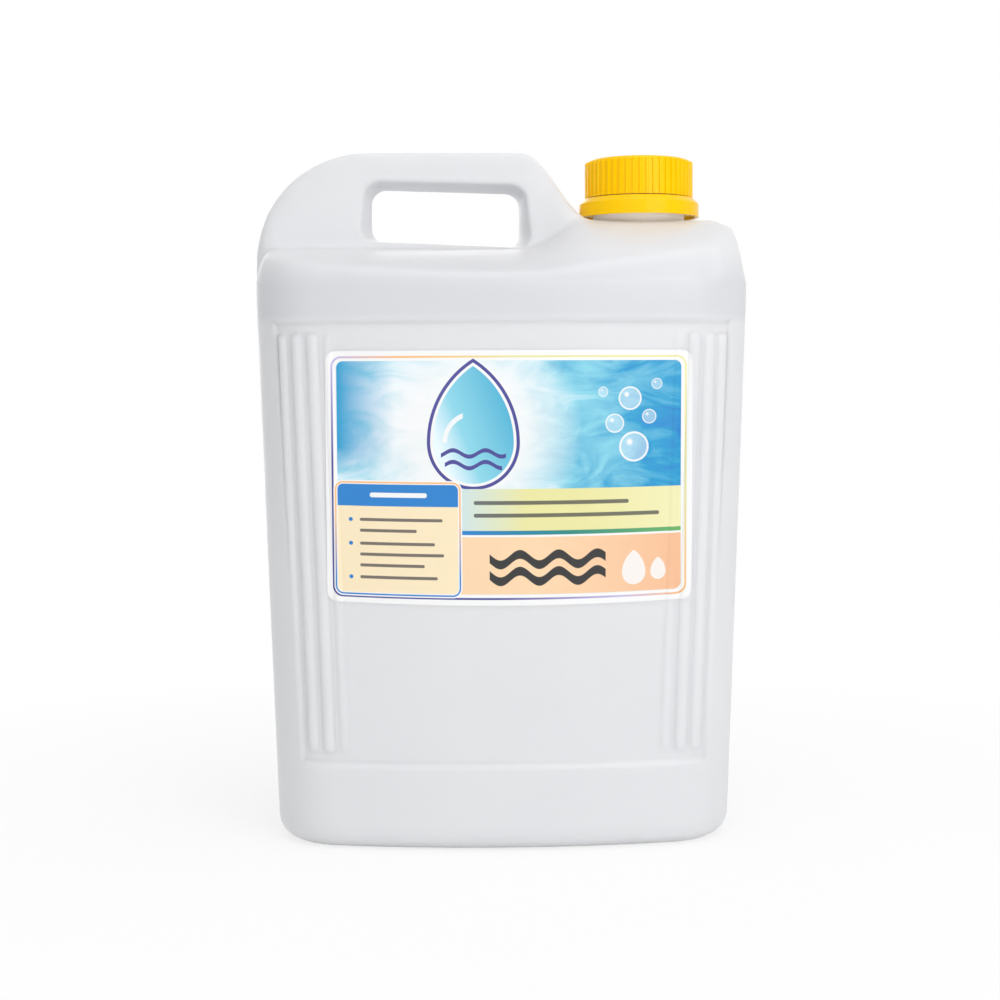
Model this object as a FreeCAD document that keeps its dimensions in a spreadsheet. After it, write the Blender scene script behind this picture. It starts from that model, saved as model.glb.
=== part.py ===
import FreeCAD, Part
import math
import os

import Sketcher
from FreeCAD import Placement, Rotation, Vector

document = FreeCAD.newDocument("bleach_bottle")

# Driving sizes in millimetres and degrees: name, value, meaning
driving_sizes = [
    ("body_width", 199.0, "width over the shoulder"),
    ("body_depth", 138.0, "depth over the shoulder"),
    ("base_width", 184.5, "width at the foot, before its round edge"),
    ("base_depth", 127.0, "depth at the foot, before its round edge"),
    ("body_corner", 30.0, "radius of the four upright corners"),
    ("front_bow", 340.0, "radius of the bowed front and back"),
    ("side_bow", 320.0, "radius of the bowed sides"),
    ("base_round", 9.0, "radius of the foot's round edge"),
    ("foot_inset", 13.0, "width of the ring that the bottle stands on"),
    ("foot_recess", 2.5, "depth of the hollow under the base"),
    ("wall_thickness", 1.4, "wall of the blown shell"),
    ("shoulder_level", 215.0, "height of the widest section"),
    ("crease_level", 224.0, "height where the front turns into the shoulder"),
    ("waist_bottom", 32.0, "lower edge of the panels"),
    ("waist_top", 209.0, "upper edge of the panels"),
    ("waist_ledge", 3.0, "height of the sloping edge of the panels"),
    ("waist_depth", 1.2, "how far the panels are set back"),
    ("waist_reach", 52.0, "distance from the middle plane at which a panel ends"),
    ("rib_radius", 3.2, "radius of the upright ribs"),
    ("rib_rise", 1.1, "height of a rib over the panel"),
    ("rib_bottom", 37.5, "lower end of the ribs"),
    ("rib_top", 203.0, "upper end of the ribs"),
    ("rib_step", 13.2, "angle from rib to rib round a corner"),
    ("handle_level", 277.5, "height of the top of the handle"),
    ("handle_arc", 44.5, "radius of the handle's outer bend"),
    ("handle_run", 29.0, "length of the slope from the handle down to the deck"),
    ("handle_steepest", 80.0, "steepest angle of the outer bend"),
    ("grip_foot", 20.0, "half depth of the handle at its root"),
    ("grip_crest", 6.0, "half depth of the handle at its crown"),
    ("grip_rise", 60.0, "height of the handle's flank curve"),
    ("grip_softness", 14.0, "how far the handle's edges are rounded off"),
    ("deck_level", 249.0, "height of the deck round the neck"),
    ("deck_corner", 11.0, "radius of the deck's outer edge"),
    ("deck_softness", 5.0, "how far the deck's front and back edges are rounded off"),
    ("shoulder_lean", 12.0, "angle of the end wall over the widest section"),
    ("shoulder_power", 2.2, "power of the shoulder's curve from front to back"),
    ("edge_round", 12.0, "how far the shoulder's edge is rounded off"),
    ("edge_steepness", 5.0, "steepness of the wall under the rounded shoulder"),
    ("handle_shoulder", 14.0, "rise of the shoulder beside the handle"),
    ("deck_shoulder", 27.0, "rise of the shoulder beside the neck"),
    ("hole_left", -53.0, "left end of the finger hole"),
    ("hole_right", 8.0, "right end of the finger hole"),
    ("hole_bottom", 238.2, "lower edge of the finger hole"),
    ("hole_top", 261.5, "upper edge of the finger hole"),
    ("hole_slant", 2.6, "rise of the finger hole's floor towards its outer end"),
    ("hole_head_slant", 1.5, "rise of the finger hole's upper edge towards its outer end"),
    ("hole_corner", 6.0, "corner radius of the finger hole"),
    ("hole_overrun", 4.0, "how far the finger hole reaches past the handle's root"),
    ("hole_flare", 0.014, "widening of the finger hole towards its mouths"),
    ("hole_floor_flare", 0.0015, "fall of the finger hole's floor towards its mouths"),
    ("neck_x", 58.0, "place of the neck from the middle of the bottle"),
    ("neck_radius", 18.9, "outer radius of the neck under its thread"),
    ("neck_bore", 16.7, "radius of the neck's bore"),
    ("neck_sink", 8.0, "how far the neck is rooted under the deck"),
    ("neck_lip", 0.6, "chamfer of the neck's lip"),
    ("neck_bead", 2.1, "height of the bead that holds the tamper ring"),
    ("bead_land", 0.8, "height of the bead's outer edge"),
    ("bead_drop", 0.2, "slope of the bead's underside"),
    ("bead_level", 254.2, "height of the underside of the bead"),
    ("cap_top", 275.0, "height of the top of the cap"),
    ("cap_radius", 22.4, "outer radius of the cap over its knurls"),
    ("cap_wall", 1.4, "wall of the cap's skirt"),
    ("cap_roof", 1.6, "thickness of the cap's top"),
    ("cap_round", 2.4, "radius of the cap's top edge"),
    ("knurl_rise", 0.6, "height of a knurl"),
    ("knurl_width", 1.5, "width of a knurl at its root"),
    ("knurl_count", 50.0, "number of knurls"),
    ("liner_thickness", 1.4, "thickness of the sealing wad"),
    ("ring_radius", 24.9, "outer radius of the tamper ring"),
    ("ring_wall", 1.4, "wall of the tamper ring"),
    ("ring_top", 259.0, "height of the top of the tamper ring"),
    ("ring_bottom", 251.3, "height of the bottom of the tamper ring"),
    ("ring_land", 0.2, "flat rim on top of the tamper ring, past the cap"),
    ("ring_taper", 2.3, "height of the tamper ring's slanted top"),
    ("ring_lip", 1.0, "thickness of the lip that catches under the bead"),
    ("ring_lip_slant", 0.5, "slope of the lip's underside"),
    ("ring_lip_gap", 0.8, "clearance between the lip and the neck"),
    ("ring_gap", 0.4, "gap between the cap and the tamper ring and round the bead"),
    ("thread_pitch", 5.0, "rise of the thread in one turn"),
    ("thread_depth", 1.2, "height of the thread's ridge"),
    ("thread_width", 2.2, "width of the thread's ridge at its root"),
    ("thread_start", 261.6, "height of the lower end of the neck's thread"),
    ("thread_turns", 1.6, "turns of the thread"),
    ("thread_gap", 0.4, "clearance between the cap's thread and the neck"),
    ("thread_lag", 0.45, "part of a turn by which the cap's thread follows the neck's"),
    ("thread_root", 0.3, "how far a thread's ridge is rooted in its wall"),
    ("label_x", 2.0, "place of the label's middle"),
    ("label_bottom", 98.3, "lower edge of the label"),
    ("label_top", 195.2, "upper edge of the label"),
    ("label_width", 142.0, "width of the label"),
    ("label_corner", 4.2, "corner radius of the label"),
    ("label_bow", 1.5, "how far the label's lower edge is bowed down"),
    ("label_thickness", 0.2, "thickness of the label"),
    ("label_gap", 0.05, "glue line behind the label"),
    ("fill_drop", 8.5, "depth of the liquid's level under the finger hole"),
    ("fill_gap", 0.3, "clearance between the liquid and the wall"),
]

sizes = document.addObject("Spreadsheet::Sheet", "sizes")
for row, (alias, number, meaning) in enumerate(driving_sizes, start=1):
    sizes.set(f"A{row}", meaning)
    sizes.set(f"B{row}", str(number))
    sizes.setAlias(f"B{row}", alias)
document.recompute()


def size(alias):
    return float(sizes.get(alias))


# Places that follow from the driving sizes
arc_x = size("handle_arc") - size("body_width") / 2
arc_z = size("handle_level") - size("handle_arc")
steepest = math.radians(size("handle_steepest"))
lean = math.radians(size("shoulder_lean"))
slope_tuck = 5.0
slope_end = size("neck_x") - size("ring_radius") + slope_tuck
slope_start = slope_end - size("handle_run")
wall_rise = 3.0
deck_corner_z = size("deck_level") - size("deck_corner")
deck_corner_x = (
    size("body_width") / 2
    - (deck_corner_z - size("shoulder_level") - wall_rise) * math.tan(lean)
    - size("deck_corner") / math.cos(lean)
)
roof_margin = 12.0
prism_top = size("handle_level") + roof_margin


# Plan of the bottle at a height: four bows joined by four tangent corners
def plan_halves(level):
    share = min(level / size("shoulder_level"), 1.0)
    width = size("base_width") + (size("body_width") - size("base_width")) * share
    depth = size("base_depth") + (size("body_depth") - size("base_depth")) * share
    return width / 2, depth / 2


def corner_centre(level):
    half_width, half_depth = plan_halves(level)
    front_centre = Vector(0, half_depth - size("front_bow"), 0)
    side_centre = Vector(half_width - size("side_bow"), 0, 0)
    front_reach = size("front_bow") - size("body_corner")
    side_reach = size("side_bow") - size("body_corner")
    apart = side_centre - front_centre
    along = (front_reach**2 - side_reach**2 + apart.Length**2) / (2 * apart.Length)
    across = math.sqrt(front_reach**2 - along**2)
    direction = Vector(apart).normalize()
    normal = Vector(direction.y, -direction.x, 0)
    return front_centre + direction * along + normal * across


def plan_wire(level, inset):
    half_width, half_depth = plan_halves(level)
    centre = corner_centre(level)
    corner = size("body_corner") - inset
    front_side = Vector(centre.x, centre.y - half_depth + size("front_bow"), 0).normalize()
    end_side = Vector(centre.x - half_width + size("side_bow"), centre.y, 0).normalize()
    front_point = centre + front_side * corner
    middle_point = centre + (front_side + end_side).normalize() * corner
    end_point = centre + end_side * corner
    front_middle = Vector(0, half_depth - inset, 0)
    end_middle = Vector(half_width - inset, 0, 0)

    def place(point, x_side, y_side):
        return Vector(point.x * x_side, point.y * y_side, level)

    def arc(start, middle, end):
        return Part.Arc(start, middle, end).toShape()

    quarters = [(1, 1), (-1, 1), (-1, -1), (1, -1)]
    edges = []
    for number, (x_side, y_side) in enumerate(quarters):
        first, last = (end_point, front_point) if number % 2 == 0 else (front_point, end_point)
        edges.append(
            arc(place(first, x_side, y_side), place(middle_point, x_side, y_side), place(last, x_side, y_side))
        )
        next_x, next_y = quarters[(number + 1) % 4]
        bow_middle = front_middle if number % 2 == 0 else end_middle
        bow_x = x_side if x_side == next_x else 1
        bow_y = y_side if y_side == next_y else 1
        edges.append(
            arc(place(last, x_side, y_side), place(bow_middle, bow_x, bow_y), place(last, next_x, next_y))
        )
    return Part.Wire(edges)


def prism(stations):
    return Part.makeLoft([plan_wire(level, inset) for level, inset in stations], True, True)


# Shoulder and handle: one smooth roof over the plan
def smooth_step(share):
    return (1 - math.cos(math.pi * min(max(share, 0.0), 1.0))) / 2


def soft_minimum(first, second, reach):
    overlap = max(reach - abs(first - second), 0.0) / reach
    return min(first, second) - overlap**2 * reach / 4


def ridge_height(x):
    if x < arc_x:
        across = arc_x - x
        steep_across = size("handle_arc") * math.sin(steepest)
        if across <= steep_across:
            return arc_z + math.sqrt(size("handle_arc") ** 2 - across**2)
        steep_z = arc_z + size("handle_arc") * math.cos(steepest)
        return steep_z - (across - steep_across) * math.tan(steepest)
    if x < deck_corner_x:
        fall = size("handle_level") - size("deck_level")
        return size("handle_level") - fall * smooth_step((x - slope_start) / size("handle_run"))
    across = x - deck_corner_x
    steep_across = size("deck_corner") * math.cos(lean)
    if across <= steep_across:
        return deck_corner_z + math.sqrt(size("deck_corner") ** 2 - across**2)
    return deck_corner_z + size("deck_corner") * math.sin(lean) - (across - steep_across) / math.tan(lean)


def distance_inside(x, y):
    level = size("shoulder_level")
    half_width, half_depth = plan_halves(level)
    centre = corner_centre(level)
    point = Vector(abs(x), abs(y), 0)
    front_centre = Vector(0, half_depth - size("front_bow"), 0)
    side_centre = Vector(half_width - size("side_bow"), 0, 0)
    outward = point - centre
    past_front = (centre - front_centre).cross(outward).z <= 0
    past_side = (centre - side_centre).cross(outward).z >= 0
    if past_front and past_side:
        return size("body_corner") - outward.Length
    to_front = size("front_bow") - (point - front_centre).Length
    to_side = size("side_bow") - (point - side_centre).Length
    return min(to_front, to_side)


def roof_height(x, y):
    blend = smooth_step((x - slope_start) / size("handle_run"))
    rise = size("handle_shoulder") + (size("deck_shoulder") - size("handle_shoulder")) * blend
    fall = (abs(y) / (size("body_depth") / 2)) ** size("shoulder_power")
    grip_run = size("grip_foot") - size("grip_crest")
    grip = size("grip_rise") * smooth_step((size("grip_foot") - abs(y)) / grip_run)
    softness = size("grip_softness") + (size("deck_softness") - size("grip_softness")) * blend
    shoulder = size("crease_level") + rise * (1 - fall) + grip
    edge = size("crease_level") + size("edge_steepness") * distance_inside(x, y) + grip * (1 - blend)
    return soft_minimum(soft_minimum(ridge_height(x), shoulder, softness), edge, size("edge_round"))


def roof_columns():
    steep_x = arc_x - size("handle_arc") * math.sin(steepest)
    corner_end = deck_corner_x + size("deck_corner") * math.cos(lean)
    bend_turns = 12
    crown_steps = 5
    slope_steps = 9
    deck_steps = 5
    columns = [steep_x - beyond for beyond in (roof_margin, 7.0, 3.5, 1.5, 0.5)]
    for turn in range(bend_turns):
        angle = steepest * (1 - turn / bend_turns)
        columns.append(arc_x - size("handle_arc") * math.sin(angle))
    for step in range(crown_steps):
        columns.append(arc_x + (slope_start - arc_x) * step / crown_steps)
    for step in range(slope_steps):
        columns.append(slope_start + size("handle_run") * step / slope_steps)
    for step in range(deck_steps):
        columns.append(slope_end + (deck_corner_x - slope_end) * step / deck_steps)
    for turn in range(bend_turns):
        angle = (math.pi / 2 - lean) * turn / bend_turns
        columns.append(deck_corner_x + size("deck_corner") * math.sin(angle))
    columns += [corner_end + beyond for beyond in (0.0, 1.2, 3.0, 6.0, roof_margin)]
    return columns


def roof_rows():
    grip_steps = 8
    shoulder_steps = 5
    edge_steps = 11
    half_depth = size("body_depth") / 2
    grip_edge = size("grip_foot") * 1.2
    edge_start = half_depth * 0.76
    edge_end = half_depth + 4.0
    half = [grip_edge * step / grip_steps for step in range(1, grip_steps + 1)]
    half += [grip_edge + (edge_start - grip_edge) * step / shoulder_steps for step in range(1, shoulder_steps + 1)]
    half += [edge_start + (edge_end - edge_start) * step / edge_steps for step in range(1, edge_steps + 1)]
    return [-row for row in reversed(half)] + [0.0] + half


def roof_point(x, y, inset):
    reach = 0.01
    slope_x = (roof_height(x + reach, y) - roof_height(x - reach, y)) / (2 * reach)
    slope_y = (roof_height(x, y + reach) - roof_height(x, y - reach)) / (2 * reach)
    outward = Vector(-slope_x, -slope_y, 1).normalize()
    return Vector(x, y, roof_height(x, y)) - outward * inset


def clamped_knots(pole_count):
    knots = list(range(pole_count - 2))
    return [4] + [1] * (len(knots) - 2) + [4], knots


def under_roof(inset):
    poles = [[roof_point(x, y, inset) for y in roof_rows()] for x in roof_columns()]
    column_mults, column_knots = clamped_knots(len(poles))
    row_mults, row_knots = clamped_knots(len(poles[0]))
    surface = Part.BSplineSurface()
    surface.buildFromPolesMultsKnots(
        poles, column_mults, row_mults, column_knots, row_knots, False, False, 3, 3
    )
    return surface.toShape().extrude(Vector(0, 0, -2 * prism_top))


# Finger hole: a rounded rectangle that widens towards the front and the back
def rounded_rectangle(left, right, bottom, top, corner, y, slants=(0.0, 0.0), bow=0.0):
    floor_slant, head_slant = slants
    corners = [
        (right - corner, top - corner, 0),
        (left + corner, top + head_slant - corner, 90),
        (left + corner, bottom + floor_slant + corner, 180),
        (right - corner, bottom + corner, 270),
    ]

    def point(x, z, angle):
        turned = math.radians(angle)
        return Vector(x + corner * math.cos(turned), y, z + corner * math.sin(turned))

    edges = []
    for number, (x, z, angle) in enumerate(corners):
        edges.append(Part.Arc(point(x, z, angle), point(x, z, angle + 45), point(x, z, angle + 90)).toShape())
        next_x, next_z, next_angle = corners[(number + 1) % 4]
        start = point(x, z, angle + 90)
        end = point(next_x, next_z, next_angle)
        if bow and next_angle == 270:
            edges.append(Part.Arc(start, (start + end) / 2 - Vector(0, 0, bow), end).toShape())
        else:
            edges.append(Part.makeLine(start, end))
    return Part.Wire(edges)


def finger_hole(inset):
    wires = []
    reach = size("grip_foot") + size("hole_overrun")
    stations = 4
    for step in range(-stations, stations + 1):
        y = reach * step / stations
        flare = size("hole_flare") * y**2 + inset
        floor = size("hole_floor_flare") * y**2 + inset
        wires.append(
            rounded_rectangle(
                size("hole_left") - flare,
                size("hole_right") + flare,
                size("hole_bottom") - floor,
                size("hole_top") + flare,
                size("hole_corner") + min(flare, floor),
                y,
                slants=(size("hole_slant"), size("hole_head_slant")),
            )
        )
    return Part.makeLoft(wires, True, False)


# Upright ribs round the corners
def rib_angles():
    rib_count = 4
    return [math.radians(90 - size("rib_step") * number) for number in range(rib_count)]


def rib_point(level, angle, x_side, y_side):
    centre = corner_centre(level)
    reach = size("body_corner") - size("waist_depth") - size("rib_radius") + size("rib_rise")
    x = centre.x + reach * math.cos(angle)
    y = centre.y + reach * math.sin(angle)
    return Vector(x * x_side, y * y_side, level)


def capsule(low, high, radius):
    length = (high - low).Length
    slant = radius * math.sqrt(0.5)
    bottom, top = Vector(0, 0, -radius), Vector(0, 0, length + radius)
    low_side, high_side = Vector(radius, 0, 0), Vector(radius, 0, length)
    edges = [
        Part.Arc(bottom, Vector(slant, 0, -slant), low_side).toShape(),
        Part.makeLine(low_side, high_side),
        Part.Arc(high_side, Vector(slant, 0, length + slant), top).toShape(),
        Part.makeLine(top, bottom),
    ]
    shape = Part.Face(Part.Wire(edges)).revolve(Vector(0, 0, 0), Vector(0, 0, 1), 360)
    shape.Placement = Placement(low, Rotation(Vector(0, 0, 1), high - low))
    return shape


def ribs(inset, y_sides=(1, -1)):
    radius = size("rib_radius") - inset
    shapes = []
    for x_side in (1, -1):
        for y_side in y_sides:
            for angle in rib_angles():
                low = rib_point(size("rib_bottom") + size("rib_radius"), angle, x_side, y_side)
                high = rib_point(size("rib_top") - size("rib_radius"), angle, x_side, y_side)
                shapes.append(capsule(low, high, radius))
    return shapes


# Outer form of the shell, or its cavity when it is set in by the wall
def foot_stations(inset):
    steps = 5
    radius = size("base_round") - inset
    stations = []
    for step in range(steps + 1):
        angle = math.pi / 2 * step / steps
        stations.append((inset + radius * (1 - math.cos(angle)), inset + radius * (1 - math.sin(angle))))
    return stations


def full_body(inset):
    return prism(foot_stations(inset) + [(size("shoulder_level"), inset), (prism_top, inset)])


def panel_space(inset):
    beyond = 1.0
    set_back = size("waist_depth") + inset
    ledge = size("waist_ledge")
    low = size("waist_bottom") - inset
    high = size("waist_top") + inset
    core = prism(
        [(low, inset - beyond), (low + ledge, set_back), (high - ledge, set_back), (high, inset - beyond)]
    )
    reach = size("waist_reach") - inset
    length = 2 * size("body_width")
    depth = size("body_depth")
    spaces = []
    for start in (reach, -reach - depth):
        block = Part.makeBox(length, depth, high - low, Vector(-length / 2, start, low))
        spaces.append(block.cut(core))
    return spaces


def foot_hollow(inset):
    inner = size("foot_inset") - inset
    top = size("foot_recess") + inset
    return Part.makeLoft([plan_wire(-1.0, inner), plan_wire(top, inner + top)], True, True)


def tank(inset):
    shape = full_body(inset).common(under_roof(inset))
    return shape.cut(panel_space(inset)).cut(foot_hollow(inset))


def form(inset):
    shape = tank(inset).cut(finger_hole(inset))
    for rib in ribs(inset):
        shape = shape.fuse(rib)
    return shape


def turned(corners, x):
    points = [Vector(radius, 0, level) for radius, level in corners]
    shape = Part.Face(Part.makePolygon(points + points[:1])).revolve(Vector(0, 0, 0), Vector(0, 0, 1), 360)
    shape.translate(Vector(x, 0, 0))
    return shape


# Thread ridge round the neck's axis: it stands outwards on the neck and inwards in the cap
def thread_ridge(root_radius, crest_radius, start, first_turn):
    turns = size("thread_turns")
    pitch = size("thread_pitch")
    root_half = size("thread_width") / 2
    crest_half = root_half / 2
    sink = math.copysign(size("thread_root"), crest_radius - root_radius)
    spine = Part.Wire(Part.makeHelix(pitch, pitch * turns, root_radius).Edges)
    corners = [
        Vector(root_radius - sink, 0, -root_half),
        Vector(crest_radius, 0, -crest_half),
        Vector(crest_radius, 0, crest_half),
        Vector(root_radius - sink, 0, root_half),
    ]
    ridge = spine.makePipeShell([Part.makePolygon(corners + corners[:1])], True, True)
    ridge.rotate(Vector(0, 0, 0), Vector(0, 0, 1), 360 * first_turn)
    ridge.translate(Vector(size("neck_x"), 0, start))
    return ridge


def neck():
    radius = size("neck_radius")
    bead = radius + size("neck_bead")
    bead_level = size("bead_level")
    lip = size("cap_top") - size("cap_roof") - size("liner_thickness")
    neck_root = size("deck_level") - size("neck_sink")
    bead_top = bead_level + size("bead_drop") + size("bead_land")
    corners = [
        (0.0, neck_root),
        (radius, neck_root),
        (radius, bead_level),
        (bead, bead_level + size("bead_drop")),
        (bead, bead_top),
        (radius, bead_top + size("neck_bead")),
        (radius, lip - size("neck_lip")),
        (radius - size("neck_lip"), lip),
        (0.0, lip),
    ]
    crest = radius + size("thread_depth")
    return turned(corners, size("neck_x")).fuse(thread_ridge(radius, crest, size("thread_start"), 0.0))


def neck_bore():
    bottom = size("deck_level") - size("neck_sink") - size("wall_thickness")
    return Part.makeCylinder(
        size("neck_bore"), size("cap_top") - bottom, Vector(size("neck_x"), 0, bottom)
    )


def add_feature(name, shape):
    feature = document.addObject("Part::Feature", name)
    feature.Shape = shape
    feature.Placement = shape.Placement
    feature.Label = name
    return feature


# Blown shell with its moulded neck
def make_bottle():
    shape = form(0.0).fuse(neck()).cut(form(size("wall_thickness"))).cut(neck_bore())
    return add_feature("bottle", shape)


# Liquid inside the shell, up to its level under the finger hole
def make_liquid():
    level = size("hole_bottom") - size("fill_drop")
    inset = size("wall_thickness") + size("fill_gap")
    span = 2 * size("body_width")
    below = Part.makeBox(span, span, span + level, Vector(-span / 2, -span / 2, -span))
    return add_feature("bleach_liquid", tank(inset).common(below))


# Film label that follows the front panel and the ribs beside it
def panel_skin(raised):
    set_back = size("waist_depth") - raised
    skin = prism([(size("waist_bottom"), set_back), (size("waist_top"), set_back)])
    for rib in ribs(-raised, y_sides=(-1,)):
        skin = skin.fuse(rib)
    return skin


def make_label():
    half = size("label_width") / 2
    left = size("label_x") - half
    right = size("label_x") + half
    corner = size("label_corner")
    y = -size("body_depth")
    outline = rounded_rectangle(
        left, right, size("label_bottom"), size("label_top"), corner, y, bow=size("label_bow")
    )
    front = Part.Face(outline).extrude(Vector(0, size("body_depth"), 0))
    film = panel_skin(size("label_gap") + size("label_thickness")).common(front)
    return add_feature("front_label", film.cut(panel_skin(size("label_gap"))))


# Sketched pieces: each corner of a closed outline is held by two sheet expressions
def origin_plane(body, role):
    return next(feature for feature in body.Origin.OriginFeatures if feature.Role == role)


def outline_sketch(body, name, role, corners):
    sketch = body.newObject("Sketcher::SketchObject", name)
    sketch.AttachmentSupport = [(origin_plane(body, role), "")]
    sketch.MapMode = "FlatFace"
    count = len(corners)
    rough = [Vector(20 + number, number * number, 0) for number in range(count)]
    for number in range(count):
        sketch.addGeometry(Part.LineSegment(rough[number], rough[(number + 1) % count]), False)
    for number, (across, along) in enumerate(corners):
        sketch.addConstraint(Sketcher.Constraint("Coincident", number, 2, (number + 1) % count, 1))
        for kind, axis, expression in (("DistanceX", -2, across), ("DistanceY", -1, along)):
            if expression == "0":
                sketch.addConstraint(Sketcher.Constraint("PointOnObject", number, 1, axis))
                continue
            index = sketch.addConstraint(Sketcher.Constraint(kind, -1, 1, number, 1, 10.0 + number))
            sketch.setExpression(f"Constraints[{index}]", expression)
    return sketch


def turned_body(name, corners):
    body = document.addObject("PartDesign::Body", name)
    body.Label = name
    sketch = outline_sketch(body, name + "_section", "XZ_Plane", corners)
    turn = body.newObject("PartDesign::Revolution", name + "_turn")
    turn.Profile = sketch
    turn.ReferenceAxis = (sketch, ["V_Axis"])
    turn.Angle = 360
    body.Tip = turn
    body.setExpression("Placement.Base.x", "sizes.neck_x")
    document.recompute()
    return body


# Screw cap: turned shell, rounded top edge, knurls and an inside thread
def make_cap():
    outer_radius = "sizes.cap_radius - sizes.knurl_rise"
    inner_radius = outer_radius + " - sizes.cap_wall"
    skirt = "sizes.ring_top + sizes.ring_gap"
    under = "sizes.cap_top - sizes.cap_roof"
    corners = [
        ("0", "sizes.cap_top"),
        (outer_radius, "sizes.cap_top"),
        (outer_radius, skirt),
        (inner_radius, skirt),
        (inner_radius, under),
        ("0", under),
    ]
    body = turned_body("cap_shell", corners)
    edges = [
        f"Edge{number}"
        for number, edge in enumerate(body.Shape.Edges, start=1)
        if edge.BoundBox.ZMin > size("cap_top") - 0.01 and edge.BoundBox.XLength > size("cap_radius")
    ]
    turned_shell = body.Tip
    rounding = body.newObject("PartDesign::Fillet", "cap_edge")
    rounding.Base = (turned_shell, edges)
    rounding.setExpression("Radius", "sizes.cap_round")
    body.Tip = rounding
    document.recompute()

    root = outer_radius + " - sizes.knurl_rise / 2"
    knurl_corners = [
        (root, "-sizes.knurl_width / 2"),
        ("sizes.cap_radius", "-sizes.knurl_width / 4"),
        ("sizes.cap_radius", "sizes.knurl_width / 4"),
        (root, "sizes.knurl_width / 2"),
    ]
    sketch = outline_sketch(body, "knurl_section", "XY_Plane", knurl_corners)
    sketch.setExpression("AttachmentOffset.Base.z", skirt)
    knurl = body.newObject("PartDesign::Pad", "knurl")
    knurl.Profile = sketch
    knurl.setExpression("Length", "sizes.cap_top - sizes.cap_round / 2 - sizes.ring_top - sizes.ring_gap")
    body.Tip = knurl
    document.recompute()
    pattern = body.newObject("PartDesign::PolarPattern", "knurls")
    pattern.Originals = [knurl]
    pattern.Axis = (sketch, ["N_Axis"])
    pattern.Angle = 360
    pattern.setExpression("Occurrences", "sizes.knurl_count")
    body.Tip = pattern
    document.recompute()

    inner = size("cap_radius") - size("knurl_rise") - size("cap_wall")
    crest = size("neck_radius") + size("thread_gap")
    lag = size("thread_lag")
    start = size("thread_start") + (lag - 0.5) * size("thread_pitch")
    thread = add_feature("cap_thread", thread_ridge(inner, crest, start, lag))
    cap = document.addObject("Part::Fuse", "cap")
    cap.Base = body
    cap.Tool = thread
    cap.Label = "cap"
    return cap


def make_liner():
    liner = document.addObject("Part::Cylinder", "cap_liner")
    liner.Label = "cap_liner"
    liner.setExpression("Radius", "sizes.neck_radius - sizes.ring_gap / 4")
    liner.setExpression("Height", "sizes.liner_thickness")
    liner.setExpression("Placement.Base.x", "sizes.neck_x")
    liner.setExpression("Placement.Base.z", "sizes.cap_top - sizes.cap_roof - sizes.liner_thickness")
    return liner


# Tamper ring: its lip catches under the neck's bead and holds it down when the cap comes off
def make_tamper_ring():
    bead = "sizes.neck_radius + sizes.neck_bead"
    inner = bead + " + sizes.ring_gap"
    outer_wall = "sizes.ring_radius - sizes.ring_wall"
    lip_under = "sizes.bead_level - sizes.ring_gap - sizes.ring_lip"
    corners = [
        (inner, "sizes.ring_top"),
        ("sizes.cap_radius + sizes.ring_land", "sizes.ring_top"),
        ("sizes.ring_radius", "sizes.ring_top - sizes.ring_taper"),
        ("sizes.ring_radius", "sizes.ring_bottom"),
        (outer_wall, "sizes.ring_bottom"),
        (outer_wall, lip_under + " - sizes.ring_lip_slant"),
        ("sizes.neck_radius + sizes.ring_lip_gap", lip_under),
        ("sizes.neck_radius + sizes.ring_lip_gap", "sizes.bead_level - sizes.ring_gap"),
        (inner, "sizes.bead_level"),
    ]
    return turned_body("tamper_ring", corners)


pieces = [make_bottle(), make_liquid(), make_label(), make_cap(), make_liner(), make_tamper_ring()]
document.recompute()

# Nothing is written unless every object and every piece is sound
for item in document.Objects:
    if "Invalid" in item.State or "Error" in item.State:
        raise RuntimeError(f"{item.Name} failed: {item.State}")
for piece in pieces:
    if piece.Shape.isNull() or not piece.Shape.isValid():
        raise RuntimeError(f"{piece.Label} has no sound shape")
    print(piece.Label, len(piece.Shape.Solids), "solid", round(piece.Shape.Volume), "cubic millimetres")

os.makedirs("parts", exist_ok=True)
for piece in pieces:
    piece.Shape.exportStep(f"parts/{piece.Label}.step")
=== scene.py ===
import math

import bmesh
import bpy
from mathutils import Matrix, Vector

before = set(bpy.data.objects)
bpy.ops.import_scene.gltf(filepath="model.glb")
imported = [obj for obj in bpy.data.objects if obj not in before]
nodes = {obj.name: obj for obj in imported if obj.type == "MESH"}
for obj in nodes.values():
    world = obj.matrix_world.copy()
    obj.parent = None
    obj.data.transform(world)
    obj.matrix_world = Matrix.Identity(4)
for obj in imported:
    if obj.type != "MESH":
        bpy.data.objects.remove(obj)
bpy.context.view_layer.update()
print("frame loaded:", ", ".join(sorted(nodes)))


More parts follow.
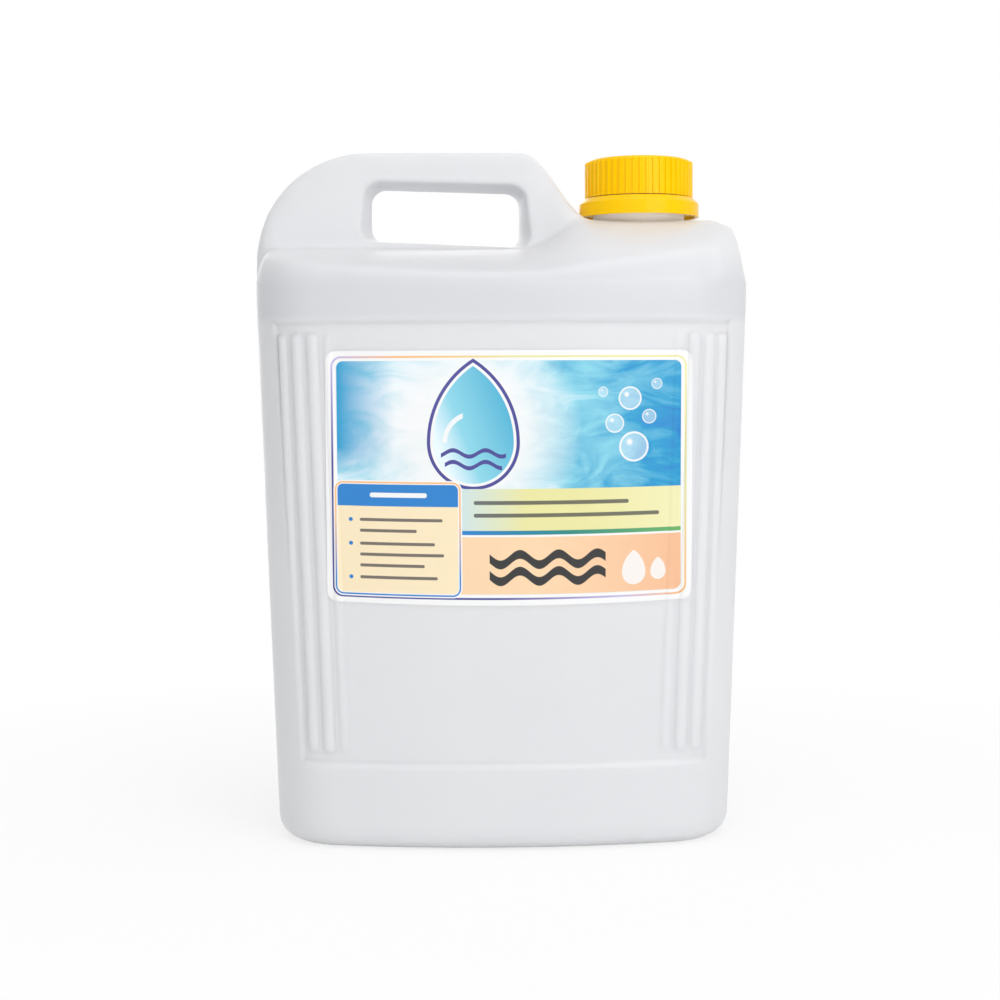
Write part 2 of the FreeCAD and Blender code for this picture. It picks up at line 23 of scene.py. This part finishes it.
# Shader tools
class Wire:
    # an output of a node; maths on it adds Math nodes
    def __init__(self, finish, socket):
        self.finish = finish
        self.socket = socket

    def maths(self, operation, *others):
        sockets = dict(enumerate((self,) + others))
        return self.finish.add("ShaderNodeMath", {"operation": operation}, sockets)

    def __add__(self, other):
        return self.maths("ADD", other)

    def __sub__(self, other):
        return self.maths("SUBTRACT", other)

    def __rsub__(self, other):
        return self.finish.add("ShaderNodeMath", {"operation": "SUBTRACT"}, {0: other, 1: self})

    def __mul__(self, other):
        return self.maths("MULTIPLY", other)

    def __truediv__(self, other):
        return self.maths("DIVIDE", other)

    def __pow__(self, power):
        return self.maths("POWER", power)

    def __abs__(self):
        return self.maths("ABSOLUTE")

    __radd__ = __add__
    __rmul__ = __mul__

    def atLeast(self, limit):
        return self.maths("MAXIMUM", limit)

    def atMost(self, limit):
        return self.maths("MINIMUM", limit)

    def root(self):
        return self.atLeast(0.0).maths("SQRT")

    def clamped(self):
        return self.finish.add("ShaderNodeClamp", {}, {0: self, 1: 0.0, 2: 1.0})


class Finish:
    # the nodes of a material or the world; each comes from add: settings first, then sockets
    def __init__(self, owner):
        owner.use_nodes = True
        self.owner = owner
        self.tree = owner.node_tree
        self.tree.nodes.clear()
        self.place = self.add("ShaderNodeTexCoord", {}, {}, "Object")

    def add(self, kind, settings, sockets, output=0):
        node = self.tree.nodes.new(kind)
        for name, value in settings.items():
            if name == "stops":
                ramp = node.color_ramp
                while len(ramp.elements) < len(value):
                    ramp.elements.new(0.5)
                for element, (position, colour) in zip(ramp.elements, value):
                    element.position = position
                    element.color = colour
            else:
                setattr(node, name, value)
        for name, value in sockets.items():
            if isinstance(value, Wire):
                self.tree.links.new(value.socket, node.inputs[name])
            else:
                node.inputs[name].default_value = value
        return Wire(self, node.outputs[output])

    def split(self, vector):
        return [self.add("ShaderNodeSeparateXYZ", {}, {0: vector}, axis) for axis in range(3)]

    def mapped(self, location=(0, 0, 0), rotation=(0, 0, 0), scale=(1, 1, 1)):
        sockets = {"Vector": self.place, "Location": location, "Rotation": rotation, "Scale": scale}
        return self.add("ShaderNodeMapping", {}, sockets)

    def noise(self, vector, scale, detail=2.0, roughness=0.5, distortion=0.0):
        sockets = {"Vector": vector, "Scale": scale, "Detail": detail, "Roughness": roughness}
        sockets["Distortion"] = distortion
        return self.add("ShaderNodeTexNoise", {}, sockets)

    def mix(self, share, first, second):
        return self.add("ShaderNodeMix", {"data_type": "RGBA"}, {0: share, 6: first, 7: second}, 2)

    def ramp(self, share, stops):
        return self.add("ShaderNodeValToRGB", {"stops": stops}, {0: share})

    def bump(self, height, softEdge=0.0):
        # height in metres; softEdge rounds the shading of edges by that radius
        sockets = {"Height": height, "Distance": 1.0}
        if softEdge:
            sockets["Normal"] = self.add("ShaderNodeBevel", {"samples": 6}, {"Radius": softEdge})
        return self.add("ShaderNodeBump", {}, sockets)

    def surface(self, sockets):
        self.close(self.add("ShaderNodeBsdfPrincipled", {}, sockets))
        return self.owner

    def close(self, shader, kind="ShaderNodeOutputMaterial"):
        output = self.tree.nodes.new(kind)
        self.tree.links.new(shader.socket, output.inputs["Surface"])


def ink(red, green, blue):
    # a screen colour, 0 to 255, as linear light
    def linear(value):
        share = value / 255
        return share / 12.92 if share <= 0.04045 else ((share + 0.055) / 1.055) ** 2.4

    return (linear(red), linear(green), linear(blue), 1.0)


def newFinish(name):
    return Finish(bpy.data.materials.new(name))


def dress(name, material):
    node = nodes[name]
    node.data.materials.clear()
    node.data.materials.append(material)
    print("dressed", name)


# Natural blown plastic of the bottle
bottleFinish = {
    "plastic": ink(234, 234, 236),
    "shade": ink(225, 226, 229),
    # painted shade: colour of the darker belt above the panels
    "paintedShadeBelt": ink(217, 218, 222),
    "beltFoot": 0.2075,
    "beltFootBlur": 0.004,
    "beltTop": 0.2275,
    "beltTopBlur": 0.012,
    "roughness": 0.36,
    "roughnessSpread": 0.08,
    "patchScale": 14.0,
    "grainScale": 900.0,
    "grainHeight": 0.00002,
    "waveScale": 45.0,
    "waveStretch": 0.6,
    "waveHeight": 0.0003,
    "seamWidth": 0.00035,
    "seamHeight": 0.00012,
    "softEdge": 0.0035,
    "neckCentre": 0.058,
    "neckReach": 0.0215,
    "neckReachBlur": 0.00125,
    "neckFoot": 0.2487,
    "neckFootBlur": 0.002,
    "neckTop": 0.2545,
    "neckTopBlur": 0.001,
    # painted light: emission colour that brightens the neck under the ring
    "paintedNeckGlow": ink(118, 118, 120),
}


def naturalPlastic(look):
    finish = newFinish("naturalPlastic")
    patches = finish.noise(finish.place, look["patchScale"], 3.0)
    colour = finish.mix(patches, look["plastic"], look["shade"])

    # painted shade: base colour darker in a belt just above the panels, below the shoulder
    x, y, z = finish.split(finish.place)
    overFoot = ((z - look["beltFoot"]) / look["beltFootBlur"] + 0.5).clamped()
    underTop = ((look["beltTop"] - z) / look["beltTopBlur"] + 0.5).clamped()
    colour = finish.mix(overFoot * underTop, colour, look["paintedShadeBelt"])

    grain = finish.noise(finish.place, look["grainScale"], 2.0)
    wave = finish.noise(finish.mapped(scale=(1, 1, look["waveStretch"])), look["waveScale"], 1.0)
    seam = (1 - abs(y) / look["seamWidth"]).clamped()
    height = grain * look["grainHeight"] + wave * look["waveHeight"] + seam * look["seamHeight"]

    # painted light: emission makes the neck strip under the ring glow, in place of light passing
    # through the milky neck
    awayFromNeck = ((x - look["neckCentre"]) ** 2 + y**2).root()
    onNeck = ((look["neckReach"] - awayFromNeck) / look["neckReachBlur"]).clamped()
    overDeck = ((z - look["neckFoot"]) / look["neckFootBlur"]).clamped()
    underRing = ((look["neckTop"] - z) / look["neckTopBlur"]).clamped()
    glow = finish.mix(onNeck * overDeck * underRing, (0, 0, 0, 1), look["paintedNeckGlow"])
    return finish.surface({
        "Base Color": colour,
        "Emission Color": glow,
        "Emission Strength": 1.0,
        "Roughness": (grain - 0.5) * look["roughnessSpread"] + look["roughness"],
        "Normal": finish.bump(height, look["softEdge"]),
        "IOR": 1.53,
        "Subsurface Weight": 0.35,
        "Subsurface Radius": (1.0, 0.97, 0.93),
        "Subsurface Scale": 0.008,
    })


dress("bottle", naturalPlastic(bottleFinish))

# Clear, faintly yellow liquid inside
liquidFinish = {"clear": ink(238, 242, 222), "cloudy": ink(232, 238, 210), "cloudScale": 12.0}


def clearLiquid(look):
    finish = newFinish("clearLiquid")
    clouds = finish.noise(finish.place, look["cloudScale"], 2.0)
    return finish.surface({
        "Base Color": finish.mix(clouds, look["clear"], look["cloudy"]),
        "Roughness": 0.03,
        "IOR": 1.34,
        "Transmission Weight": 0.9,
    })


dress("bleach_liquid", clearLiquid(liquidFinish))

# Yellow moulded plastic of the cap and the ring
capFinish = {
    "centre": (0.058, 0.0),
    "yellow": ink(255, 208, 0),
    "deep": ink(255, 197, 0),
    "roughness": 0.22,
    "roughnessSpread": 0.1,
    "patchScale": 60.0,
    "grainScale": 1400.0,
    "grainHeight": 0.000012,
    "ringPitch": 0.0011,
    "ringHeight": 0.00003,
    "gateRadius": 0.0016,
    "gateHeight": 0.0003,
    "topLevel": 0.2745,
    "topBlur": 0.00025,
}


def yellowPlastic(name, look, turnedTop):
    finish = newFinish(name)
    centred = finish.mapped(location=(-look["centre"][0], -look["centre"][1], 0))
    x, y, z = finish.split(centred)
    reach = (x * x + y * y).root()
    patches = finish.noise(centred, look["patchScale"], 2.0)
    grain = finish.noise(centred, look["grainScale"], 2.0)
    height = grain * look["grainHeight"]
    if turnedTop:
        # turned rings and the moulding gate's pip on the flat top
        onTop = ((z - look["topLevel"]) / look["topBlur"]).clamped()
        rings = (reach * (2 * math.pi / look["ringPitch"])).maths("SINE")
        gate = (1 - reach / look["gateRadius"]).clamped()
        height = height + onTop * (rings * look["ringHeight"] + gate * look["gateHeight"])
    return finish.surface({
        "Base Color": finish.mix(patches, look["yellow"], look["deep"]),
        "Roughness": (grain - 0.5) * look["roughnessSpread"] + look["roughness"],
        "Normal": finish.bump(height),
        "IOR": 1.5,
        "Specular IOR Level": 0.12,
        "Subsurface Weight": 0.1,
        "Subsurface Radius": (1.0, 0.5, 0.1),
        "Subsurface Scale": 0.002,
    })


dress("cap", yellowPlastic("capPlastic", capFinish, True))
dress("tamper_ring", yellowPlastic("ringPlastic", capFinish, False))

# White foam of the cap's liner
linerFinish = {
    "foam": ink(240, 240, 236),
    "pore": ink(214, 214, 208),
    "poreScale": 900.0,
    "poreHeight": 0.0001,
}


def whiteFoam(look):
    finish = newFinish("whiteFoam")
    sockets = {"Vector": finish.place, "Scale": look["poreScale"]}
    pores = finish.add("ShaderNodeTexVoronoi", {}, sockets)
    return finish.surface({
        "Base Color": finish.mix(pores, look["pore"], look["foam"]),
        "Roughness": 0.75,
        "Normal": finish.bump(pores * look["poreHeight"]),
    })


dress("cap_liner", whiteFoam(linerFinish))

# Printed film label, painted in millimetres from its lower middle
labelFinish = {
    "middle": 0.002,
    "foot": 0.0983,
    "halfWidth": 71.0,
    "height": 96.9,
    "bow": 1.5,
    "keylineInset": 2.6,
    "keylineHead": 2.4,
    "keylineCorner": 3.6,
    "keylineHalf": 0.38,
    "printInset": 4.4,
    "printFoot": 4.3,
    "printHead": 3.9,
    "printCorner": 2.6,
    "bandTop": 44.5,
    "hemTop": 28.6,
    "gapTop": 27.0,
    "peachTop": 26.2,
    "panelRight": -20.0,
    "panelTop": 46.0,
    "panelCorner": 2.2,
    "headerFoot": 37.6,
    "rippleScale": 38.0,
    "rippleTilt": 0.35,
    "rippleStretch": 2.2,
    "crinkleScale": 60.0,
    "crinkleStretch": 0.35,
    "crinkleHeight": 0.0004,
    "grainScale": 700.0,
    "grainHeight": 0.00001,
    "roughness": 0.27,
    "roughnessSpread": 0.1,
    # across, up and radius
    "bubbles": [
        (48.0, 60.0, 5.4), (40.5, 69.0, 3.4), (54.0, 71.5, 2.6),
        (46.5, 78.5, 4.2), (57.0, 84.0, 2.0), (36.0, 81.0, 1.8),
    ],
    # across, up, radius and tip
    "drop": (-14.0, 62.0, 15.5, 29.0),
    "whiteDrops": [(48.0, 11.5, 4.6, 8.74), (57.6, 11.5, 3.0, 5.7)],
    # left, right, bottom, top and corner
    "headerRule": (-54.0, -32.0, 41.0, 42.8, 0.8),
    # left, right and up
    "dropWaves": [(-26.5, -1.5, 58.0), (-25.0, -3.0, 53.6)],
    "darkWaves": [(-8.0, 37.0, 17.6), (-8.0, 37.0, 11.2)],
    "bandRules": [(-14.0, 46.0, 39.2), (-14.0, 58.0, 34.4)],
    "panelRules": [
        (-58.0, -26.0, 32.4), (-58.0, -36.0, 28.2), (-58.0, -29.0, 23.2),
        (-58.0, -25.5, 19.0), (-58.0, -33.0, 14.8), (-58.0, -28.0, 10.2),
    ],
    "panelDots": [(-61.5, 32.4, 0.8), (-61.5, 23.2, 0.8), (-61.5, 10.2, 0.8)],
    "film": ink(238, 238, 238),
    "violet": ink(62, 60, 142),
    "blue": ink(0, 122, 198),
    "cyan": ink(0, 150, 200),
    "lake": ink(70, 172, 206),
    "paleCyan": ink(132, 206, 224),
    "mist": ink(226, 240, 247),
    "yellow": ink(226, 222, 156),
    "paleYellow": ink(232, 228, 176),
    "paleBlue": ink(196, 220, 226),
    "lilac": ink(190, 180, 220),
    "teal": ink(0, 130, 120),
    "green": ink(96, 170, 90),
    "peach": ink(242, 208, 168),
    "deepPeach": ink(236, 182, 142),
    "beige": ink(242, 224, 188),
    "orange": ink(242, 178, 110),
    "dark": ink(34, 32, 34),
    "slate": ink(44, 44, 56),
}


class LabelArt:
    # shapes on the label: each gives a distance in millimetres, below zero inside;
    # u runs across from the middle and v up from the foot
    def __init__(self, look):
        self.finish = newFinish("labelFilm")
        x, y, z = self.finish.split(self.finish.place)
        self.u = (x - look["middle"]) * 1000
        rise = (z - look["foot"]) * 1000
        sag = look["bow"] * (1 - (self.u / look["halfWidth"]) ** 2)
        self.v = rise + sag * (1 - rise / look["height"])
        self.colour = look["film"]

    def frameBox(self, left, right, bottom, top, corner):
        across = abs(self.u - (left + right) / 2) - ((right - left) / 2 - corner)
        up = abs(self.v - (bottom + top) / 2) - ((top - bottom) / 2 - corner)
        outside = (across.atLeast(0.0) ** 2 + up.atLeast(0.0) ** 2).root()
        return outside + across.atLeast(up).atMost(0.0) - corner

    def disc(self, u, v, radius):
        return ((self.u - u) ** 2 + (self.v - v) ** 2).root() - radius

    def drop(self, u, v, radius, tip):
        across = abs(self.u - u)
        up = self.v - v
        flank = (tip**2 + radius**2) / (2 * radius)
        upper = ((across + (flank - radius)) ** 2 + up**2).root() - flank
        lower = (across**2 + up**2).root() - radius
        above = up.maths("GREATER_THAN", 0.0)
        return upper * above + lower * (1 - above)

    def rule(self, left, right, v, half):
        return self.frameBox(left, right, v - half, v + half, half - 0.05)

    def wave(self, left, right, v, swing, length, half):
        line = (self.u * (2 * math.pi / length)).maths("SINE") * swing + v
        ends = abs(self.u - (left + right) / 2) - (right - left) / 2
        return (abs(self.v - line) - half).atLeast(ends)

    def lay(self, distance, colour, strength=1.0, soft=0.16):
        mask = (0.5 - distance / soft).clamped() * strength
        self.colour = self.finish.mix(mask, self.colour, colour)

    def fade(self, start, end, axis):
        return ((axis - start) / (end - start)).clamped()


def paintKeyline(art, look):
    # thin coloured line round the print
    half = look["halfWidth"]
    inset = look["keylineInset"]
    head = look["height"] - look["keylineHead"]
    box = art.frameBox(-half + inset, half - inset, inset, head, look["keylineCorner"])
    along = art.fade(-60.0, 60.0, art.u + (art.v - look["height"] / 2) * 1.2)
    tones = [(0.0, look["violet"]), (0.4, look["lilac"]), (0.6, look["orange"]), (1.0, look["yellow"])]
    art.lay(abs(box) - look["keylineHalf"], art.finish.ramp(along, tones))


def paintWater(art, look, printBox, ripple):
    # rippled water with a pale haze behind the drop
    depth = (art.fade(-8.0, 66.0, art.u) * 0.75 + (ripple - 0.5) * 1.1 + 0.12).clamped()
    tones = [(0.0, look["mist"]), (0.35, look["paleCyan"]), (0.8, look["cyan"]), (1.0, look["blue"])]
    art.lay(printBox, art.finish.ramp(depth, tones))
    haze = 1 - (art.disc(-16.0, 66.0, 22.0) / 22.0).clamped()
    art.lay(printBox, look["film"], haze * 0.9)
    corner = art.fade(-44.0, -66.0, art.u) * art.fade(48.0, 60.0, art.v)
    art.lay(printBox, look["cyan"], corner)


def paintBubbles(art, look, printBox):
    for u, v, radius in look["bubbles"]:
        bubble = art.disc(u, v, radius)
        glint = radius * 0.2
        art.lay(bubble.atLeast(printBox), look["mist"], 0.35)
        art.lay((abs(bubble) - radius * 0.07).atLeast(printBox), look["film"], 0.9)
        art.lay(art.disc(u - radius * 0.32, v + radius * 0.34, glint), look["film"], 0.95, glint)


def paintDrop(art, look):
    # drop emblem with a violet outline, a shine and two waves
    u, v, radius, tip = look["drop"]
    drop = art.drop(u, v, radius, tip)
    art.lay(drop - 2.6, look["film"])
    art.lay(abs(drop - 1.7) - 0.65, look["violet"])
    glow = art.fade(u - 14.0, u + 18.0, art.u + (art.v - v) * 0.4)
    tones = [(0.0, look["mist"]), (0.35, look["paleCyan"]), (1.0, look["lake"])]
    art.lay(drop, art.finish.ramp(glow, tones))
    shine = (abs(art.disc(u, v, 11.0)) - 0.9).atLeast(art.u - (u - 4.0)).atLeast(v - art.v)
    art.lay(shine, look["film"], 0.9)
    for left, right, level in look["dropWaves"]:
        art.lay(art.wave(left, right, level, 1.2, 12.5, 0.8), look["violet"])


def paintBands(art, look, printBox, ripple):
    # yellow band, green line and peach band, with rules, waves and drops
    paleEnd = art.finish.mix(art.fade(6.0, -22.0, art.u), look["yellow"], look["paleBlue"])
    bandColour = art.finish.mix(art.fade(30.0, 64.0, art.u), paleEnd, look["paleYellow"])
    art.lay(printBox.atLeast(art.v - look["bandTop"]), bandColour)
    tones = [(0.0, look["blue"]), (0.5, look["teal"]), (1.0, look["green"])]
    hemColour = art.finish.ramp(art.fade(-20.0, 66.0, art.u), tones)
    art.lay(printBox.atLeast(art.v - look["hemTop"]), hemColour)
    art.lay(printBox.atLeast(art.v - look["gapTop"]), look["film"])
    peachMix = (art.fade(10.0, 66.0, art.u) + (ripple - 0.5) * 0.2).clamped()
    peachColour = art.finish.mix(peachMix, look["peach"], look["deepPeach"])
    art.lay(printBox.atLeast(art.v - look["peachTop"]), peachColour)
    for left, right, level in look["bandRules"]:
        art.lay(art.rule(left, right, level, 0.75), look["slate"], 0.85)
    for left, right, level in look["darkWaves"]:
        art.lay(art.wave(left, right, level, 2.0, 15.0, 1.7), look["dark"])
    for u, v, radius, tip in look["whiteDrops"]:
        art.lay(art.drop(u, v, radius, tip), look["film"], 0.85)


def paintPanel(art, look):
    # notice panel on the left, with plain rules in it
    left = look["printInset"] - look["halfWidth"]
    right, foot, top = look["panelRight"], look["printFoot"], look["panelTop"]
    panel = art.frameBox(left, right, foot, top, look["panelCorner"])
    edgeColour = art.finish.mix(art.fade(10.0, 34.0, art.v), look["blue"], look["orange"])
    art.lay(panel - 1.5, look["film"])
    art.lay(abs(panel - 0.7) - 0.3, edgeColour)
    art.lay(panel, look["beige"])
    art.lay(panel.atLeast(look["headerFoot"] - art.v), look["blue"])
    art.lay(art.frameBox(*look["headerRule"]), look["film"])
    for left, right, level in look["panelRules"]:
        art.lay(art.rule(left, right, level, 0.6), look["slate"], 0.85)
    for u, v, radius in look["panelDots"]:
        art.lay(art.disc(u, v, radius), look["blue"])


def labelFilm(look):
    art = LabelArt(look)
    finish = art.finish
    paintKeyline(art, look)
    edge = look["halfWidth"] - look["printInset"]
    head = look["height"] - look["printHead"]
    printBox = art.frameBox(-edge, edge, look["printFoot"], head, look["printCorner"])
    waterPlace = finish.mapped(rotation=(0, look["rippleTilt"], 0), scale=(1, 1, look["rippleStretch"]))
    ripple = finish.noise(waterPlace, look["rippleScale"], 5.0, 0.55, 1.6)
    paintWater(art, look, printBox, ripple)
    paintBubbles(art, look, printBox)
    paintDrop(art, look)
    paintBands(art, look, printBox, ripple)
    paintPanel(art, look)

    crinklePlace = finish.mapped(scale=(1, 1, look["crinkleStretch"]))
    crinkle = finish.noise(crinklePlace, look["crinkleScale"], 2.0)
    grain = finish.noise(finish.place, look["grainScale"], 2.0)
    return finish.surface({
        "Base Color": art.colour,
        "Roughness": grain * look["roughnessSpread"] + look["roughness"],
        "Normal": finish.bump(crinkle * look["crinkleHeight"] + grain * look["grainHeight"]),
        "IOR": 1.5,
        "Coat Weight": 0.15,
        "Coat Roughness": 0.15,
    })


dress("front_label", labelFilm(labelFinish))

# Floor, backdrop light and lamps
studio = {
    "floorSize": 6.0,
    "floor": ink(250, 250, 250),
    "shadowReach": 0.42,
    "shadowShare": 0.35,
    "worldLight": 0.6,
    "lamps": [
        # name, place, size, power
        ("keyLamp", (0.7, -1.3, 0.7), 1.0, 8.8),
        ("fillLamp", (-0.5, -1.6, 0.2), 1.0, 2.4),
        ("topLamp", (0.1, -0.25, 1.5), 1.0, 4.5),
        ("rearLamp", (-0.4, 1.6, 0.5), 1.0, 3.5),
    ],
    "aim": (0.0, 0.0, 0.14),
}


def seenDirectly(finish):
    # 1 for camera, glossy and transmission rays
    names = ("Is Camera Ray", "Is Glossy Ray", "Is Transmission Ray")
    camera, glossy, through = [finish.add("ShaderNodeLightPath", {}, {}, name) for name in names]
    return camera.atLeast(glossy).atLeast(through)


def makeFloor(look):
    mesh = bpy.data.meshes.new("studioFloor")
    floor = bpy.data.objects.new("studioFloor", mesh)
    bpy.context.scene.collection.objects.link(floor)
    sheet = bmesh.new()
    bmesh.ops.create_grid(sheet, x_segments=4, y_segments=4, size=look["floorSize"] / 2)
    sheet.to_mesh(mesh)
    sheet.free()
    finish = newFinish("studioFloor")
    x, y, z = finish.split(finish.place)
    near = (1 - (x * x + y * y).root() / look["shadowReach"]).clamped()
    matt = finish.add("ShaderNodeBsdfDiffuse", {}, {"Color": look["floor"]})
    white = finish.add("ShaderNodeEmission", {}, {"Color": (1, 1, 1, 1), "Strength": 1.0})
    share = seenDirectly(finish) * (1 - near * look["shadowShare"])
    finish.close(finish.add("ShaderNodeMixShader", {}, {0: share, 1: matt, 2: white}))
    mesh.materials.append(finish.owner)


def makeWorld(look):
    world = bpy.data.worlds.new("studioWorld")
    bpy.context.scene.world = world
    finish = Finish(world)
    white = finish.add("ShaderNodeBackground", {}, {"Color": (1, 1, 1, 1), "Strength": 1.0})
    soft = {"Color": (1, 1, 1, 1), "Strength": look["worldLight"]}
    light = finish.add("ShaderNodeBackground", {}, soft)
    both = finish.add("ShaderNodeMixShader", {}, {0: seenDirectly(finish), 1: light, 2: white})
    finish.close(both, "ShaderNodeOutputWorld")


def makeLamps(look):
    for name, place, size, power in look["lamps"]:
        lamp = bpy.data.lights.new(name, "AREA")
        lamp.shape = "SQUARE"
        lamp.size = size
        lamp.energy = power
        holder = bpy.data.objects.new(name, lamp)
        holder.location = place
        sight = Vector(look["aim"]) - Vector(place)
        holder.rotation_euler = sight.to_track_quat("-Z", "Y").to_euler()
        bpy.context.scene.collection.objects.link(holder)


makeFloor(studio)
makeWorld(studio)
makeLamps(studio)
bpy.context.scene.view_settings.view_transform = "Standard"
print("studio ready")

# Camera at the photograph's place
view = {
    "place": (-0.01863, -0.78173, 0.17840),
    "turn": -0.0234,
    "dip": 0.0567,
    "roll": -0.0047,
    "focalPixels": 1865.84,
    "imageWidth": 1000,
    "sensor": 36.0,
}


def makeCamera(look):
    level = Vector((math.cos(look["turn"]), math.sin(look["turn"]), 0))
    ahead = Vector((-math.sin(look["turn"]), math.cos(look["turn"]), 0)) * math.cos(look["dip"])
    ahead -= Vector((0, 0, math.sin(look["dip"])))
    upright = level.cross(ahead)
    right = level * math.cos(look["roll"]) + upright * math.sin(look["roll"])
    up = upright * math.cos(look["roll"]) - level * math.sin(look["roll"])
    data = bpy.data.cameras.new("photoCamera")
    data.sensor_width = look["sensor"]
    data.lens = look["focalPixels"] * look["sensor"] / look["imageWidth"]
    camera = bpy.data.objects.new("photoCamera", data)
    turned = Matrix((right, up, -ahead)).transposed().to_4x4()
    camera.matrix_world = Matrix.Translation(look["place"]) @ turned
    bpy.context.scene.collection.objects.link(camera)
    bpy.context.scene.camera = camera


makeCamera(view)
print("camera ready")
